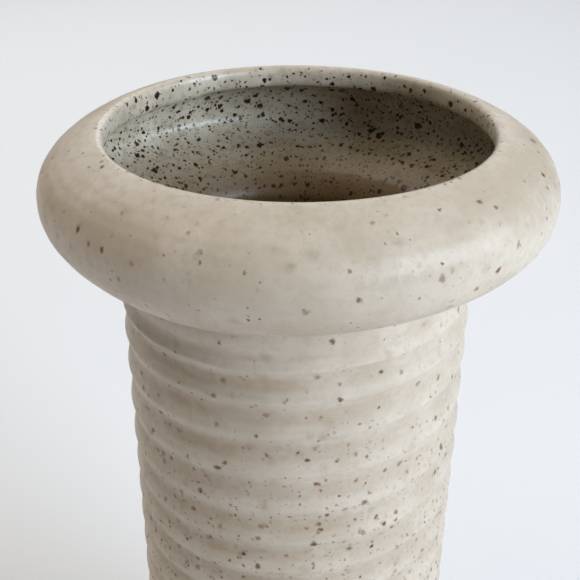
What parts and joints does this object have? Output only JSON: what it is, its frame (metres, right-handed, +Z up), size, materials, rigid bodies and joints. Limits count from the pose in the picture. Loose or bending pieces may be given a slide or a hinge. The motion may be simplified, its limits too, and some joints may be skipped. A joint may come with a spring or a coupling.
{
  "type": "pottery vase",
  "caption": "Tall cylindrical stoneware vase with throwing rings, a heavy hollow rolled collar, a speckled matt glaze outside and a glossy glaze inside.",
  "frame": {"origin": "centre of the face that the foot ring stands on", "axes": "+Z up, along the vase's axis of revolution; X and Y are free, because the vase is round"},
  "size_m": [0.15, 0.15, 0.28],
  "materials": {
    "bare_clay": "unglazed fired stoneware with fine grit",
    "joint_slip": "fired slip, slightly darker than the clay",
    "matt_glaze": "satin matt stoneware glaze with sparse faded iron speckles",
    "gloss_liner": "glossy liner glaze with dense dark iron speckles"
  },
  "bodies": {
    "root": {"foot_ring": "bare_clay", "foot_slip_seam": "joint_slip", "floor_disc": "bare_clay", "floor_slip_seam": "joint_slip", "body_wall": "bare_clay", "collar_slip_seam": "joint_slip", "collar": "bare_clay", "liner_glaze": "gloss_liner", "outer_glaze": "matt_glaze"}
  },
  "joints": []
}
